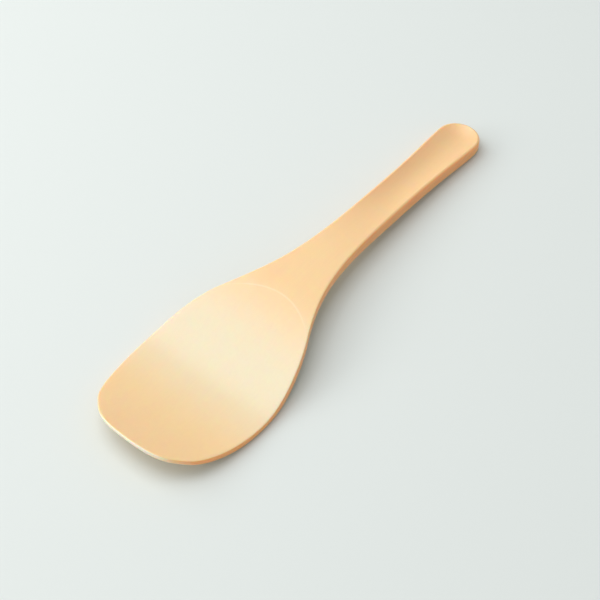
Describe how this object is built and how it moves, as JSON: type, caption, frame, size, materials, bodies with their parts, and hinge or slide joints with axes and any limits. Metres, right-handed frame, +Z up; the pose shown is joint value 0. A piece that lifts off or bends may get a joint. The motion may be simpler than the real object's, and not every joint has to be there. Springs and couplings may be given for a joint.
{
  "type": "rice paddle",
  "caption": "One-piece wooden rice paddle with a shallow scooped blade, an arched neck and a slim handle with a thumb trough.",
  "frame": {"origin": "centre of the paddle's bounding box, on the surface it lies on", "axes": "+X along the length towards the end of the handle, +Y across the blade, +Z up out of the scooped face"},
  "size_m": [0.2, 0.0562, 0.0114],
  "materials": {
    "pale_wood": "fine sanded, satin, close grained and almost without figure"
  },
  "bodies": {
    "root": {"rice_paddle": "pale_wood"}
  },
  "joints": []
}
